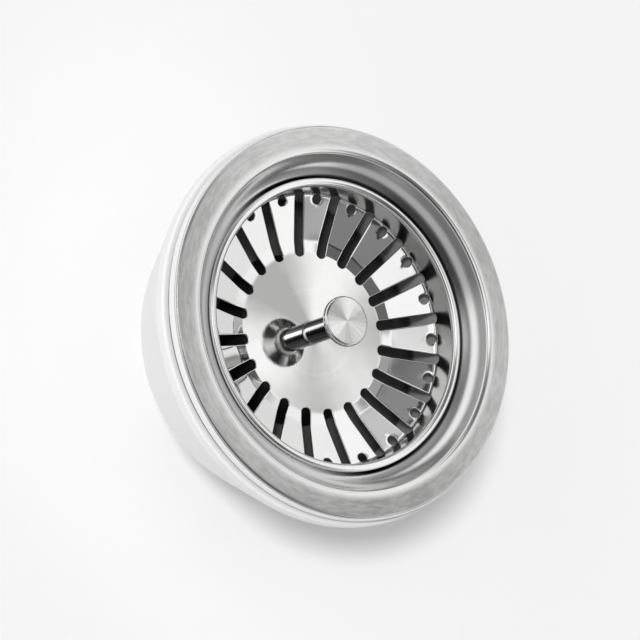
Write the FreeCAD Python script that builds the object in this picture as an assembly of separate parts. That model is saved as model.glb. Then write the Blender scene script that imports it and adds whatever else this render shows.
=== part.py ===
import FreeCAD, Part
import math
import os

# Basket-strainer waste for a kitchen sink. Millimetres, +Z up along the drain axis.
# The origin is the centre of the outlet's lower end, where the waste stands upright.

# Drain throat: the bore of the pressed bowl, which the basket hangs in
THROAT_R = 42.0

# Pressed steel flange: flat, turned-down edge, dish, throat and bowl floor
FLANGE_SHEET = 1.0
FLANGE_EDGE_DROP = 3.5
FLANGE_EDGE_BEND = 1.3
FLAT_WIDTH = 8.0
SHOULDER_BEND = 3.4
DISH_WIDTH = 7.0
DISH_DEPTH = 7.7
THROAT_BEND = 2.0
BOWL_FLOOR_BEND = 4.0
DRAIN_HOLES = 8
DRAIN_HOLE_R = 4.5
DRAIN_LAND = 1.5

# White plastic body: rim, tapered bowl, funnel and outlet spigot
OUTLET_R = 23.9
OUTLET_WALL = 3.0
OUTLET_LENGTH = 24.0
OUTLET_COLLAR_WIDTH = 3.4
OUTLET_LEAD_LENGTH = 4.0
OUTLET_LEAD_STEP = 1.6
OUTLET_EDGE_BEND = 0.4
OUTLET_THREAD_PITCH = 2.309
OUTLET_THREAD_DEPTH = 1.35
OUTLET_THREAD_CREST = 0.5
OUTLET_THREAD_ROOT = 0.5
OUTLET_THREAD_START = 2.0
OUTLET_THREAD_TURNS = 8
THREAD_TOOL_REACH = 0.4
FUNNEL_HEIGHT = 9.0
BODY_TAPER_HEIGHT = 34.8
BODY_RIM_HEIGHT = 3.6
BODY_RIM_OVERHANG = 1.2
BODY_MOUTH_ROOM = 8.2
BODY_FOOT_ROOM = 2.5
BODY_FOOT_BEND = 9.0
BODY_WALL = 2.6
BODY_EDGE_BEND = 0.8

# Spider that carries the clamp bolt inside the outlet
SPIDER_RIBS = 4
SPIDER_RIB_WIDTH = 3.0
SPIDER_LIFT = 14.0
SPIDER_HUB_WALL = 3.3
SPIDER_HUB_ROOM = 5.4
INSERT_WALL = 2.2
INSERT_HEIGHT = 15.0
INSERT_SINK = 3.0

# Gaskets on the two sides of the sink's sheet
BODY_GASKET_HEIGHT = 1.3
BODY_GASKET_INSET = 0.6
GASKET_SIDE_CLEARANCE = 0.3
EDGE_CLEARANCE = 0.2

# Hollow clamp bolt and its washer
BOLT_R = 5.0
BOLT_TUBE_WALL = 1.7
BOLT_BORE_DEPTH = 17.4
BOLT_HEAD_STEP = 4.0
BOLT_HEAD_HEIGHT = 3.0
BOLT_SLOT_WIDTH = 2.0
BOLT_SLOT_DEPTH = 1.6
BOLT_TIP_PAST_NUT = 2.0
BOLT_WASHER_STEP = 1.0
BOLT_WASHER_HEIGHT = 1.0
BOLT_HOLE_CLEARANCE = 0.2
BOLT_EDGE_BEND = 0.8

# Slotted basket
BASKET_SHEET = 0.7
BASKET_DEPTH = 19.7
BASKET_SIDE_GAP = 1.0
BASKET_DISC_R = 25.2
BASKET_DISC_BEND = 8.5
BASKET_PETAL_RISE = 5.2
BASKET_FOLD_BEND = 1.2
BASKET_RIM_OVERHANG = 0.8
BASKET_RIM_LIP = 0.9
BASKET_RIM_BEND = 1.0
BASKET_LIP_BEND = 0.7
BASKET_SEAT_GAP = 0.42
SLOTS = 20
SLOT_WIDTH = 3.0
SLOT_TIP_INSET = 2.5
SLOT_CLIMB = 1.3
PETAL_HOLE_R = 1.5
PETAL_HOLE_INSET = 1.5

# Knob
KNOB_R = 7.35
KNOB_SINK = 2.1
KNOB_EDGE = 1.3
KNOB_NECK = 2.6
KNOB_EDGE_BEND = 0.35
STEM_R = 3.5
STEM_WALL = 1.0
STUD_REACH = 10.0
STUD_END_ROOM = 0.6
THREAD_CLEARANCE = 0.05

# Guide pin, washer, clip and catch ring
LOCK_WASHER_INSET = 0.4
LOCK_WASHER_HEIGHT = 1.0
COLLAR_STEP = 2.8
COLLAR_HEIGHT = 2.0
JOURNAL_STEP = 0.78
NOSE_CHAMFER = 0.8
NOSE_END_ROOM = 2.5
NOSE_HEAD_ROOM = 0.9
GROOVE_DEPTH = 0.6
CLIP_STEP = 1.6
CLIP_HEIGHT = 0.8
CLIP_LAND = 0.3
CATCH_RING_HEIGHT = 1.2
CATCH_RING_LIFT = 5.0
RING_SPLIT = 1.2

# Stopper
HUB_HEIGHT = 3.3
HUB_SIDE_ROOM = 2.8
HUB_SPIGOT_WALL = 2.2
HUB_LIP = 1.0
HUB_LIP_HEIGHT = 0.4
HUB_EDGE_BEND = 0.8
SEAL_WEB = 2.5
SEAL_LAP = 5.3
SEAL_FLARE = 2.8
SEAL_SKIRT_WALL = 2.2
SEAL_SEAT_GAP = 0.3
SEAL_BORE_CLEARANCE = 0.1
RUNNING_CLEARANCE = 0.08
END_PLAY = 0.15
SIDE_PLAY = 0.5

# Radii worked out from the throat, the bolt and the stem
shoulder_r = THROAT_R + DISH_WIDTH
flange_r = shoulder_r + FLAT_WIDTH
body_r = flange_r + BODY_RIM_OVERHANG
body_mouth_r = THROAT_R + BODY_MOUTH_ROOM
body_foot_r = THROAT_R + BODY_FOOT_ROOM
body_gasket_r = flange_r - BODY_GASKET_INSET
outlet_bore_r = OUTLET_R - OUTLET_WALL
outlet_lead_r = OUTLET_R - OUTLET_LEAD_STEP
bolt_bore_r = BOLT_R - BOLT_TUBE_WALL
bolt_head_r = BOLT_R + BOLT_HEAD_STEP
bolt_washer_r = bolt_head_r + BOLT_WASHER_STEP
bolt_hole_r = BOLT_R + BOLT_HOLE_CLEARANCE
insert_r = BOLT_R + INSERT_WALL
spider_hub_r = insert_r + SPIDER_HUB_WALL
drain_ring_r = bolt_washer_r + DRAIN_LAND + DRAIN_HOLE_R
basket_wall_r = THROAT_R - BASKET_SIDE_GAP - BASKET_SHEET
basket_rim_r = THROAT_R + BASKET_RIM_OVERHANG
slot_tip_r = BASKET_DISC_R - SLOT_TIP_INSET
petal_hole_ring_r = basket_wall_r - PETAL_HOLE_INSET
stud_r = STEM_R - STEM_WALL
stud_bore_r = stud_r + THREAD_CLEARANCE
nose_r = bolt_bore_r - RUNNING_CLEARANCE
groove_r = nose_r - GROOVE_DEPTH
journal_r = nose_r + JOURNAL_STEP
clip_r = journal_r + CLIP_STEP
collar_r = journal_r + COLLAR_STEP
lock_washer_r = collar_r - LOCK_WASHER_INSET
hub_bore_r = journal_r + RUNNING_CLEARANCE
hub_recess_r = collar_r + SIDE_PLAY
hub_spigot_r = hub_recess_r + HUB_SPIGOT_WALL
seal_lip_r = drain_ring_r + DRAIN_HOLE_R + SEAL_LAP
seal_top_r = seal_lip_r - SEAL_FLARE
hub_r = seal_top_r - SEAL_SKIRT_WALL - HUB_SIDE_ROOM

# Heights worked out from the outlet up to the flange's face
z_outlet_crests = OUTLET_LEAD_LENGTH + OUTLET_LEAD_STEP
z_outlet_top = OUTLET_LENGTH
z_foot = z_outlet_top + FUNNEL_HEIGHT
z_rim_bottom = z_foot + BODY_TAPER_HEIGHT
z_rim_top = z_rim_bottom + BODY_RIM_HEIGHT
z_gasket_top = z_rim_top + BODY_GASKET_HEIGHT
z_face = z_gasket_top + EDGE_CLEARANCE + FLANGE_EDGE_DROP

# Heights worked out from the face down through the basket to the bolt
z_throat = z_face - DISH_DEPTH
z_basket_lip = z_throat + BASKET_RIM_OVERHANG * DISH_DEPTH / DISH_WIDTH + BASKET_SEAT_GAP
z_basket_rim = z_basket_lip + BASKET_RIM_LIP
z_knob = z_face - KNOB_SINK
z_disc = z_face - BASKET_DEPTH
z_disc_under = z_disc - BASKET_SHEET
z_fold = z_disc + BASKET_PETAL_RISE
z_stud_end = z_disc + STUD_REACH
z_collar_top = z_disc_under - LOCK_WASHER_HEIGHT
z_collar_under = z_collar_top - COLLAR_HEIGHT
z_stopper_top = z_collar_under - END_PLAY
z_web = z_stopper_top + SEAL_WEB
z_stopper_under = z_stopper_top - HUB_HEIGHT
z_clip_top = z_stopper_under - END_PLAY
z_clip_under = z_clip_top - CLIP_HEIGHT
z_journal_end = z_clip_under - CLIP_LAND
z_head_top = z_journal_end - NOSE_HEAD_ROOM
z_washer_top = z_head_top - BOLT_HEAD_HEIGHT
z_floor = z_washer_top - BOLT_WASHER_HEIGHT
z_floor_under = z_floor - FLANGE_SHEET
z_bore_end = z_head_top - BOLT_BORE_DEPTH
z_nose_end = z_bore_end + NOSE_END_ROOM
z_catch = z_nose_end + CATCH_RING_LIFT
z_catch_top = z_catch + CATCH_RING_HEIGHT
z_hub_top = z_floor_under - SPIDER_HUB_ROOM
z_insert_top = z_hub_top - INSERT_SINK
z_insert_under = z_insert_top - INSERT_HEIGHT
z_bolt_tip = z_insert_under - BOLT_TIP_PAST_NUT

AXIS = FreeCAD.Vector(0, 0, 1)
CENTRE = FreeCAD.Vector(0, 0, 0)


def point(radius, height):
    """Point of the half-plane that is turned round the drain axis."""
    return FreeCAD.Vector(radius, 0, height)


def turned(corners):
    """Solid turned from a closed outline of (radius, height, bend) corners, each bend an arc."""
    touches = []
    count = len(corners)
    for index in range(count):
        radius, height, bend = corners[index]
        here = point(radius, height)
        before = point(*corners[index - 1][:2])
        after = point(*corners[(index + 1) % count][:2])
        back = (before - here).normalize()
        ahead = (after - here).normalize()
        half = back.getAngle(ahead) / 2
        if bend <= 0 or half > math.radians(89):
            touches.append((here, None, here))
            continue
        reach = bend / math.tan(half)
        inward = (back + ahead).normalize()
        middle = here + inward * (bend / math.sin(half) - bend)
        touches.append((here + back * reach, middle, here + ahead * reach))
    edges = []
    for index in range(count):
        start, middle, end = touches[index]
        if middle is not None:
            edges.append(Part.Arc(start, middle, end).toShape())
        following = touches[(index + 1) % count][0]
        if end.distanceToPoint(following) > 1e-6:
            edges.append(Part.makeLine(end, following))
    face = Part.Face(Part.Wire(edges))
    return face.revolve(CENTRE, AXIS, 360)


def sheet(path, thickness):
    """Closed outline of a bent sheet whose top side follows the path and whose metal lies to its right."""
    ways = []
    for start, end in zip(path[:-1], path[1:]):
        ways.append((point(*end[:2]) - point(*start[:2])).normalize())
    rights = [FreeCAD.Vector(way.z, 0, -way.x) for way in ways]
    under = []
    for index, (radius, height, bend) in enumerate(path):
        right_in = rights[max(index - 1, 0)]
        right_out = rights[min(index, len(rights) - 1)]
        shift = (right_in + right_out) * (thickness / (1 + right_in.dot(right_out)))
        turns_left = right_in.x * right_out.z - right_in.z * right_out.x > 0
        under_bend = bend + thickness if turns_left else max(bend - thickness, 0)
        if bend == 0:
            under_bend = 0
        under.append((radius + shift.x, height + shift.z, under_bend))
    return path + under[::-1]


def ring(inner, outer, low, high):
    """Flat ring round the drain axis."""
    return turned([(inner, low, 0), (outer, low, 0), (outer, high, 0), (inner, high, 0)])


def split_ring(inner, outer, low, high):
    """Flat spring ring with a narrow split on its +X side."""
    split = Part.makeBox(outer, RING_SPLIT, high - low, FreeCAD.Vector(0, -RING_SPLIT / 2, low))
    return ring(inner, outer, low, high).cut(split)


def round_the_axis(shape, count, first_angle=0):
    """Copies of a shape spread evenly round the drain axis."""
    copies = []
    for index in range(count):
        copy = shape.copy()
        copy.rotate(CENTRE, AXIS, first_angle + 360 * index / count)
        copies.append(copy)
    return copies


def outlet_thread():
    """Groove of the outlet's thread: a flat-tipped tooth with slanted sides led along a helix. It starts
    beside the plain lead, which is narrower than the thread's root."""
    flank = (OUTLET_THREAD_PITCH - OUTLET_THREAD_CREST - OUTLET_THREAD_ROOT) / 2
    tip_r = OUTLET_R - OUTLET_THREAD_DEPTH
    back_r = OUTLET_R + THREAD_TOOL_REACH
    half_tip = OUTLET_THREAD_ROOT / 2
    half_back = half_tip + flank * (back_r - tip_r) / OUTLET_THREAD_DEPTH
    corners = [
        point(tip_r, -half_tip),
        point(tip_r, half_tip),
        point(back_r, half_back),
        point(back_r, -half_back),
    ]
    tooth = Part.makePolygon(corners + corners[:1])
    helix = Part.makeHelix(OUTLET_THREAD_PITCH, OUTLET_THREAD_PITCH * OUTLET_THREAD_TURNS, OUTLET_R)
    lead = Part.BRepOffsetAPI.MakePipeShell(Part.Wire(helix))
    lead.setBiNormalMode(AXIS)
    lead.add(Part.Wire(tooth))
    lead.build()
    lead.makeSolid()
    groove = lead.shape()
    groove.translate(FreeCAD.Vector(0, 0, OUTLET_THREAD_START))
    return groove


def waste_body():
    """White moulding: rim, tapered bowl, funnel, threaded outlet with a plain lead, spider and hub."""
    bowl = turned([
        (outlet_bore_r, 0, 0),
        (outlet_lead_r, 0, OUTLET_EDGE_BEND),
        (outlet_lead_r, OUTLET_LEAD_LENGTH, 0),
        (OUTLET_R, z_outlet_crests, 0),
        (OUTLET_R, z_outlet_top, 0),
        (OUTLET_R + OUTLET_COLLAR_WIDTH, z_outlet_top, BODY_EDGE_BEND),
        (body_foot_r, z_foot, BODY_FOOT_BEND),
        (body_r, z_rim_bottom, BODY_WALL),
        (body_r, z_rim_top, BODY_EDGE_BEND),
        (body_mouth_r, z_rim_top, BODY_EDGE_BEND),
        (body_foot_r - BODY_WALL, z_foot + BODY_WALL, BODY_FOOT_BEND - BODY_WALL),
        (outlet_bore_r, z_outlet_top + BODY_WALL, BODY_WALL),
    ])
    hub = ring(insert_r, spider_hub_r, SPIDER_LIFT, z_hub_top)
    rib_start = (insert_r + spider_hub_r) / 2
    rib_length = (outlet_bore_r + OUTLET_R) / 2 - rib_start
    corner = FreeCAD.Vector(rib_start, -SPIDER_RIB_WIDTH / 2, SPIDER_LIFT)
    rib = Part.makeBox(rib_length, SPIDER_RIB_WIDTH, z_outlet_top - SPIDER_LIFT, corner)
    return bowl.fuse([hub] + round_the_axis(rib, SPIDER_RIBS)).cut(outlet_thread())


def insert_nut():
    """Brass nut pressed into the spider's hub."""
    return ring(BOLT_R + THREAD_CLEARANCE, insert_r, z_insert_under, z_insert_top)


def body_gasket():
    """Rubber ring on the body's rim."""
    return ring(body_mouth_r + GASKET_SIDE_CLEARANCE, body_gasket_r, z_rim_top, z_gasket_top)


def sink_flange():
    """One pressed sheet: bowl floor, throat, dish, flat and turned-down edge."""
    pressing = turned(sheet([
        (bolt_hole_r, z_floor, 0),
        (THROAT_R, z_floor, BOWL_FLOOR_BEND),
        (THROAT_R, z_throat, THROAT_BEND),
        (shoulder_r, z_face, SHOULDER_BEND),
        (flange_r, z_face, FLANGE_EDGE_BEND),
        (flange_r, z_face - FLANGE_EDGE_DROP, 0),
    ], FLANGE_SHEET))
    base = FreeCAD.Vector(drain_ring_r, 0, z_floor_under - FLANGE_SHEET)
    hole = Part.makeCylinder(DRAIN_HOLE_R, 3 * FLANGE_SHEET, base)
    return pressing.cut(round_the_axis(hole, DRAIN_HOLES, 180 / DRAIN_HOLES))


def flange_gasket():
    """Rubber ring in the hollow under the flange's flat, down to the body's gasket."""
    shoulder_turn = math.atan2(DISH_DEPTH, DISH_WIDTH)
    flat_start = shoulder_r + SHOULDER_BEND * math.tan(shoulder_turn / 2)
    inner = flat_start + GASKET_SIDE_CLEARANCE
    outer = flange_r - FLANGE_EDGE_BEND - GASKET_SIDE_CLEARANCE
    return ring(inner, outer, z_gasket_top, z_face - FLANGE_SHEET)


def bolt_washer():
    """Sealing washer between the bolt's head and the bowl floor."""
    return ring(bolt_hole_r, bolt_washer_r, z_floor, z_washer_top)


def clamp_bolt():
    """Hollow slotted bolt from the bowl floor into the insert nut."""
    bolt = turned([
        (0, z_bolt_tip, 0),
        (BOLT_R, z_bolt_tip, BOLT_EDGE_BEND),
        (BOLT_R, z_washer_top, 0),
        (bolt_head_r, z_washer_top, 0),
        (bolt_head_r, z_head_top, BOLT_EDGE_BEND),
        (bolt_bore_r, z_head_top, 0),
        (bolt_bore_r, z_bore_end, 0),
        (0, z_bore_end, 0),
    ])
    corner = FreeCAD.Vector(-bolt_head_r, -BOLT_SLOT_WIDTH / 2, z_head_top - BOLT_SLOT_DEPTH)
    slot = Part.makeBox(2 * bolt_head_r, BOLT_SLOT_WIDTH, BOLT_SLOT_DEPTH, corner)
    return bolt.cut(slot)


def stopper_hub():
    """Plastic disc that runs on the guide pin, with a lipped spigot that holds the seal."""
    z_lip = z_web + HUB_LIP_HEIGHT
    return turned([
        (hub_bore_r, z_stopper_under, 0),
        (hub_r, z_stopper_under, HUB_EDGE_BEND),
        (hub_r, z_stopper_top, 0),
        (hub_spigot_r, z_stopper_top, 0),
        (hub_spigot_r, z_web, 0),
        (hub_spigot_r + HUB_LIP, z_web, 0),
        (hub_spigot_r + HUB_LIP, z_lip, 0),
        (hub_recess_r, z_lip, 0),
        (hub_recess_r, z_stopper_top, 0),
        (hub_bore_r, z_stopper_top, 0),
    ])


def stopper_seal():
    """Rubber bell round the hub, its lip just over the bowl floor outside the drain holes."""
    bore_r = hub_spigot_r + SEAL_BORE_CLEARANCE
    z_lip = z_floor + SEAL_SEAT_GAP
    return turned([
        (bore_r, z_stopper_top, 0),
        (seal_top_r - SEAL_SKIRT_WALL, z_stopper_top, SEAL_SKIRT_WALL / 2),
        (seal_lip_r - SEAL_SKIRT_WALL, z_lip, SEAL_SKIRT_WALL / 4),
        (seal_lip_r, z_lip, SEAL_SKIRT_WALL / 4),
        (seal_top_r, z_web, SEAL_SKIRT_WALL / 2),
        (bore_r, z_web, 0),
    ])


def slot_cutter():
    """Radial slot with a round tip on the disc and a round end just up the wall."""
    half = SLOT_WIDTH / 2
    low = z_disc_under - BASKET_SHEET
    z_end = z_fold + SLOT_CLIMB - half
    length = basket_rim_r - slot_tip_r
    bar = Part.makeBox(length, SLOT_WIDTH, z_end - low, FreeCAD.Vector(slot_tip_r + half, -half, low))
    round_tip = Part.makeCylinder(half, z_end - low, point(slot_tip_r + half, low))
    round_end = Part.makeCylinder(half, length, point(slot_tip_r + half, z_end), FreeCAD.Vector(1, 0, 0))
    return bar.fuse([round_tip, round_end])


def basket_shell():
    """Pressed cup: flat disc, sloped petals between the slots, wall, and curled rim."""
    cup = turned(sheet([
        (stud_bore_r, z_disc, 0),
        (BASKET_DISC_R, z_disc, BASKET_DISC_BEND),
        (basket_wall_r, z_fold, BASKET_FOLD_BEND),
        (basket_wall_r, z_basket_rim, BASKET_RIM_BEND),
        (basket_rim_r, z_basket_rim, BASKET_LIP_BEND),
        (basket_rim_r, z_basket_lip, 0),
    ], BASKET_SHEET))
    slots = round_the_axis(slot_cutter(), SLOTS)
    hole_height = BASKET_PETAL_RISE + 2 * BASKET_SHEET
    hole = Part.makeCylinder(PETAL_HOLE_R, hole_height, point(petal_hole_ring_r, z_disc_under))
    holes = round_the_axis(hole, SLOTS, 180 / SLOTS)
    return cup.cut(slots + holes)


def knob():
    """Turned knob: thin head, tapered neck and stem, bored for the guide pin's stud."""
    z_edge = z_knob - KNOB_EDGE
    z_bore_top = z_stud_end + STUD_END_ROOM
    return turned([
        (stud_bore_r, z_disc, 0),
        (STEM_R, z_disc, 0),
        (STEM_R, z_edge - KNOB_NECK, KNOB_NECK),
        (KNOB_R, z_edge, KNOB_EDGE_BEND),
        (KNOB_R, z_knob, KNOB_EDGE_BEND),
        (0, z_knob, 0),
        (0, z_bore_top, 0),
        (stud_bore_r, z_bore_top, 0),
    ])


def guide_pin():
    """Stud, collar, journal with a clip groove, and the nose with its catch groove."""
    return turned([
        (0, z_nose_end, 0),
        (nose_r, z_nose_end, NOSE_CHAMFER),
        (nose_r, z_catch, 0),
        (groove_r, z_catch, 0),
        (groove_r, z_catch_top, 0),
        (nose_r, z_catch_top, 0),
        (nose_r, z_journal_end, 0),
        (journal_r, z_journal_end, 0),
        (journal_r, z_clip_under, 0),
        (groove_r, z_clip_under, 0),
        (groove_r, z_clip_top, 0),
        (journal_r, z_clip_top, 0),
        (journal_r, z_collar_under, 0),
        (collar_r, z_collar_under, 0),
        (collar_r, z_collar_top, 0),
        (stud_r, z_collar_top, 0),
        (stud_r, z_stud_end, 0),
        (0, z_stud_end, 0),
    ])


def lock_washer():
    """Split spring washer between the basket's disc and the pin's collar."""
    return split_ring(stud_bore_r, lock_washer_r, z_collar_top, z_disc_under)


def retaining_clip():
    """Split clip in the journal's groove, under the stopper hub."""
    return split_ring(groove_r, clip_r, z_clip_under, z_clip_top)


def catch_ring():
    """Split spring ring in the nose's groove."""
    return split_ring(groove_r, nose_r, z_catch, z_catch_top)


PIECES = [
    waste_body,
    insert_nut,
    body_gasket,
    sink_flange,
    flange_gasket,
    bolt_washer,
    clamp_bolt,
    stopper_hub,
    stopper_seal,
    basket_shell,
    knob,
    guide_pin,
    lock_washer,
    retaining_clip,
    catch_ring,
]

os.makedirs("parts", exist_ok=True)
for make_piece in PIECES:
    shape = make_piece()
    name = make_piece.__name__
    print(name, "solids", len(shape.Solids), "valid", shape.isValid(), "volume", round(shape.Volume, 1))
    shape.exportStep("parts/" + name + ".step")
print("height", round(z_face, 3))
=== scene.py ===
import math

import bmesh
import bpy
import numpy as np
from mathutils import Matrix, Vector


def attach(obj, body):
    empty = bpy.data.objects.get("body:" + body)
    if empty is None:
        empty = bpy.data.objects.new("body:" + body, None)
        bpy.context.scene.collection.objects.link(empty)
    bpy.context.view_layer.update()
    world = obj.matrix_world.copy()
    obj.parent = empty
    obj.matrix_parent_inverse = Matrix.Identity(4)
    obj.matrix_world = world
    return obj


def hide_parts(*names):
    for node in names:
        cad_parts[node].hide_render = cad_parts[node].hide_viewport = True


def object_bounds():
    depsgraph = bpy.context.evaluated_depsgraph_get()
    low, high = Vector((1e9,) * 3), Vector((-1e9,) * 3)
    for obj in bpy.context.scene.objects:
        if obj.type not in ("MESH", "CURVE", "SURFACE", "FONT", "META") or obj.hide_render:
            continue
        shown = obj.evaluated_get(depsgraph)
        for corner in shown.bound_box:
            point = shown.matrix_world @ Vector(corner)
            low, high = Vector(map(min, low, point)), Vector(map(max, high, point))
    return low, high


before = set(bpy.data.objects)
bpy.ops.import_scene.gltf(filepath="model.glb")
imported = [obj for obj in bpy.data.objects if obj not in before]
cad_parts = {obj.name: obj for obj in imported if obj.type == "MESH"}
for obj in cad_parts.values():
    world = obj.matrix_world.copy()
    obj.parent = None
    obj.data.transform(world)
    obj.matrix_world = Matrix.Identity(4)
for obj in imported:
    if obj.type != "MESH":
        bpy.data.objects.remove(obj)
cad_low, cad_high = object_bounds()


# Waste body: the white plastic piece under the sink, one injection moulding. Its wide rim carries a
# gasket, the tapered bowl runs down to a funnel and a threaded outlet, and a four-rib spider inside
# the outlet holds the nut that the clamp bolt pulls on.

OUTLET_RADIUS = 23.9
OUTLET_BORE = 20.9
OUTLET_TOP = 24.0
LEAD_RADIUS = 22.3
LEAD_TOP = 4.0
THREAD_PITCH = 2.309
THREAD_DEPTH = 1.35
THREAD_ROOT = 0.5
THREAD_FLANK = 0.6545
THREAD_START = 2.0
THREAD_TURNS = 8
RUN_OUTS_PER_TURN = 30
RIM_RADIUS = 58.2
RIM_TOP = 71.4
SPIDER_FOOT = 14.0
RIB_HALF_WIDTH = 1.5
HUB_BORE = 7.2
HUB_RADIUS = 10.5
HUB_TOP = 37.0
BODY_STEPS = 160
MILLIMETRE = 0.001


def bent_line(corners, closed=True, step=7.0):
    """Points in mm along an outline of (radius, height, bend) corners. Each bend is an arc that touches
    both of its sides, cut every few degrees, and a straight side gets points that crowd to its ends."""
    place = np.array([corner[:2] for corner in corners], float)
    count = len(corners)
    arcs = []
    for index in range(count):
        here = place[index]
        bend = corners[index][2]
        if bend == 0 or (not closed and index in (0, count - 1)):
            arcs.append(here[None, :])
            continue
        back = place[index - 1] - here
        ahead = place[(index + 1) % count] - here
        back /= np.linalg.norm(back)
        ahead /= np.linalg.norm(ahead)
        half = math.acos(float(np.clip(back @ ahead, -1, 1))) / 2
        centre = here + (back + ahead) / np.linalg.norm(back + ahead) * bend / math.sin(half)
        first = here + back * bend / math.tan(half) - centre
        turn = math.copysign(math.pi - 2 * half, back[1] * ahead[0] - back[0] * ahead[1])
        cuts = max(2, math.ceil(abs(math.degrees(turn)) / step))
        angle = math.atan2(first[1], first[0]) + turn * np.linspace(0, 1, cuts + 1)
        arcs.append(centre + bend * np.stack((np.cos(angle), np.sin(angle)), axis=1))
    share = np.array([0.03, 0.12, 0.35, 0.65, 0.88, 0.97])
    runs = []
    for index in range(count if closed else count - 1):
        start = arcs[index][-1]
        end = arcs[(index + 1) % count][0]
        runs.append(arcs[index])
        if np.linalg.norm(end - start) > 0.8:
            runs.append(start + share[:, None] * (end - start))
    if not closed:
        runs.append(arcs[-1])
    return np.vstack(runs)


def rounded_box(inner, outer, low, high, inner_bend, outer_bend):
    """Outline of a rectangle between two radii and two heights, its inner and outer corners rounded."""
    return bent_line([
        (inner, low, inner_bend),
        (outer, low, outer_bend),
        (outer, high, outer_bend),
        (inner, high, inner_bend),
    ])


def even_angles(count):
    """Angles that part a full turn into that many equal steps."""
    return 2 * np.pi * np.arange(count) / count


def turned(line, steps):
    """The line carried once round the drain axis: (r, z) at angle a goes to (r cos a, r sin a, z)."""
    angle = even_angles(steps)
    radius = line[:, 0, None]
    height = line[:, 1, None] + 0 * angle
    return np.stack((radius * np.cos(angle), radius * np.sin(angle), height), axis=-1)


def piece(name, skins, body, *nodes):
    """One mesh from grids of points in mm, each with whether its rows and its columns close on
    themselves. Grids are welded where they meet, and the faces point outwards and shade smoothly."""
    points = []
    faces = []
    offset = 0
    for grid, rows_close, columns_close in skins:
        rows, columns = grid.shape[:2]
        row, column = np.meshgrid(np.arange(rows if rows_close else rows - 1),
                                  np.arange(columns if columns_close else columns - 1), indexing="ij")
        next_row = (row + 1) % rows
        next_column = (column + 1) % columns
        corners = (row * columns + column, row * columns + next_column,
                   next_row * columns + next_column, next_row * columns + column)
        points.append(grid.reshape(-1, 3) * MILLIMETRE)
        faces.append(offset + np.stack(corners, axis=-1).reshape(-1, 4))
        offset += rows * columns
    mesh = bpy.data.meshes.new(name)
    mesh.from_pydata(np.vstack(points).tolist(), [], np.vstack(faces).tolist())
    build = bmesh.new()
    build.from_mesh(mesh)
    bmesh.ops.remove_doubles(build, verts=build.verts, dist=2e-7)
    bmesh.ops.recalc_face_normals(build, faces=build.faces)
    build.to_mesh(mesh)
    build.free()
    mesh.polygons.foreach_set("use_smooth", np.ones(len(mesh.polygons), bool))
    thing = bpy.data.objects.new(name, mesh)
    bpy.context.scene.collection.objects.link(thing)
    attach(thing, body)
    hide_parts(*nodes)
    return thing


def spider_rib(angle):
    """A bar with rounded edges from the hub to the outlet's wall: a rounded rectangle in the plane across
    the rib, carried along the rib's radius and turned to its angle."""
    section = rounded_box(-RIB_HALF_WIDTH, RIB_HALF_WIDTH, SPIDER_FOOT, OUTLET_TOP, 0.5, 0.5)
    middle = (SPIDER_FOOT + OUTLET_TOP) / 2
    along = np.array([9.0, 9.4, 12.0, 18.0, 22.0, 22.4])
    shrink = np.array([0.0, 1.0, 1.0, 1.0, 1.0, 0.0])[None, :]
    across = section[:, 0, None] * shrink
    up = middle + (section[:, 1, None] - middle) * shrink
    x = along * math.cos(angle) - across * math.sin(angle)
    y = along * math.sin(angle) + across * math.cos(angle)
    return np.stack((x, y, up + 0 * x), axis=-1)


spigot_heights = np.arange(LEAD_TOP, OUTLET_TOP - 0.6, THREAD_PITCH / 12)
body_line = bent_line([
    (OUTLET_BORE, 0.0, 0.5),
    (LEAD_RADIUS, 0.0, 0.4),
    *[(min(OUTLET_RADIUS, LEAD_RADIUS + height - LEAD_TOP), height, 0.0) for height in spigot_heights],
    (OUTLET_RADIUS, OUTLET_TOP, 0.3),
    (OUTLET_RADIUS + 3.4, OUTLET_TOP, 0.8),
    (44.5, 33.0, 9.0),
    (RIM_RADIUS, 67.8, 2.6),
    (RIM_RADIUS, RIM_TOP, 0.8),
    (50.2, RIM_TOP, 0.8),
    (41.9, 35.6, 6.4),
    (OUTLET_BORE, OUTLET_TOP + 2.6, 2.6),
])
body_grid = turned(body_line, BODY_STEPS)
# The outlet's thread above the plain lead: the groove's middle climbs one pitch a turn, its depth falls
# off up the flanks, and it runs out within a thirtieth of a turn at both ends
winding = np.mod(np.arctan2(body_grid[..., 1], body_grid[..., 0]) / (2 * np.pi), 1.0)
climb = (body_grid[..., 2] - THREAD_START) / THREAD_PITCH - winding
lap = np.clip(np.round(climb), 0, THREAD_TURNS - 1)
off_middle = np.abs(climb - lap) * THREAD_PITCH
groove = np.clip((THREAD_ROOT / 2 + THREAD_FLANK - off_middle) / THREAD_FLANK, 0, 1)
run_in = np.clip((lap + winding) * RUN_OUTS_PER_TURN, 0, 1)
run_out = np.clip((THREAD_TURNS - lap - winding) * RUN_OUTS_PER_TURN, 0, 1)
plain_radius = body_line[:, 0, None]
on_spigot = ((plain_radius > LEAD_RADIUS - 0.01) & (plain_radius < OUTLET_RADIUS + 0.01)
             & (body_line[:, 1, None] > LEAD_TOP - 0.01) & (body_line[:, 1, None] < OUTLET_TOP - 0.3))
cut_radius = np.minimum(plain_radius, OUTLET_RADIUS - THREAD_DEPTH * groove * (run_in * run_out))
body_grid[..., :2] *= (np.where(on_spigot, cut_radius, plain_radius) / plain_radius)[..., None]
hub_line = rounded_box(HUB_BORE, HUB_RADIUS, SPIDER_FOOT, HUB_TOP, 0.4, 0.6)
ribs = [(spider_rib(angle), True, False) for angle in (0.0, math.pi / 2, math.pi, 3 * math.pi / 2)]
white_body = piece("white_body", [(body_grid, True, True), (turned(hub_line, 72), True, True), *ribs],
                   "waste", "waste_body")


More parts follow.
